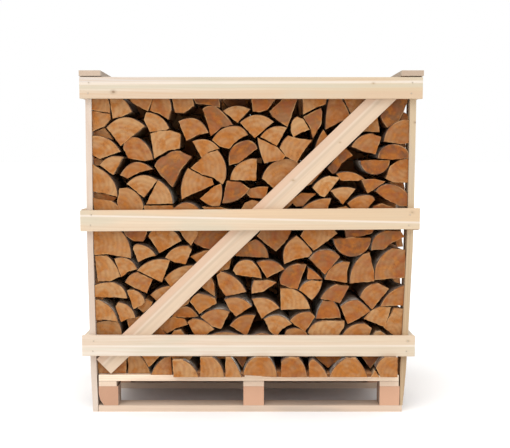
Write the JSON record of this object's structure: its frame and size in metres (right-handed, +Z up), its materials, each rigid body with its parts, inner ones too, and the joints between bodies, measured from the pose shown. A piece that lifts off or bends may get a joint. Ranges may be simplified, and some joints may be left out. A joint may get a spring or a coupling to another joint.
{
  "type": "crate of firewood",
  "caption": "Slatted softwood crate on a pallet base, filled with split birch logs whose cut ends face the front, with a diagonal brace behind its rails.",
  "frame": {"origin": "on the ground, in the middle of the crate's width and depth", "axes": "+Z up, -Y towards the front that the picture shows, +X to the right of someone who looks at that front"},
  "size_m": [1.2115, 0.8, 1.2248],
  "materials": {
    "pale_spruce": "sawn softwood, dry and unpainted",
    "weathered_spruce": "sawn softwood, greyed by the weather",
    "pallet_block": "rough-sawn softwood, pinkish brown",
    "cut_birch": "split and sawn birch, dry, orange-brown on its ends"
  },
  "bodies": {
    "root": {"back_base_board": "weathered_spruce", "back_brace": "pale_spruce", "back_left_block": "pallet_block", "back_left_post": "pale_spruce", "back_middle_block": "pallet_block", "back_right_block": "pallet_block", "back_right_post": "pale_spruce", "bottom_back_rail": "pale_spruce", "bottom_front_rail": "pale_spruce", "bottom_left_side_rail": "pale_spruce", "bottom_right_side_rail": "pale_spruce", "deck_board_1": "weathered_spruce", "deck_board_2": "weathered_spruce", "deck_board_3": "weathered_spruce", "deck_board_4": "weathered_spruce", "deck_board_5": "weathered_spruce", "deck_board_6": "weathered_spruce", "firewood_back_row": "cut_birch", "firewood_front_row": "cut_birch", "firewood_middle_row": "cut_birch", "front_base_board": "weathered_spruce", "front_brace": "pale_spruce", "front_left_block": "pallet_block", "front_left_post": "pale_spruce", "front_middle_block": "pallet_block", "front_right_block": "pallet_block", "front_right_post": "pale_spruce", "left_cap_board": "weathered_spruce", "left_stringer": "weathered_spruce", "middle_back_rail": "pale_spruce", "middle_base_board": "weathered_spruce", "middle_front_rail": "pale_spruce", "middle_left_block": "pallet_block", "middle_left_post": "pale_spruce", "middle_left_side_rail": "pale_spruce", "middle_middle_block": "pallet_block", "middle_right_block": "pallet_block", "middle_right_post": "pale_spruce", "middle_right_side_rail": "pale_spruce", "middle_stringer": "weathered_spruce", "right_cap_board": "weathered_spruce", "right_stringer": "weathered_spruce", "top_back_rail": "pale_spruce", "top_front_rail": "pale_spruce", "top_left_side_rail": "pale_spruce", "top_right_side_rail": "pale_spruce"}
  },
  "joints": []
}
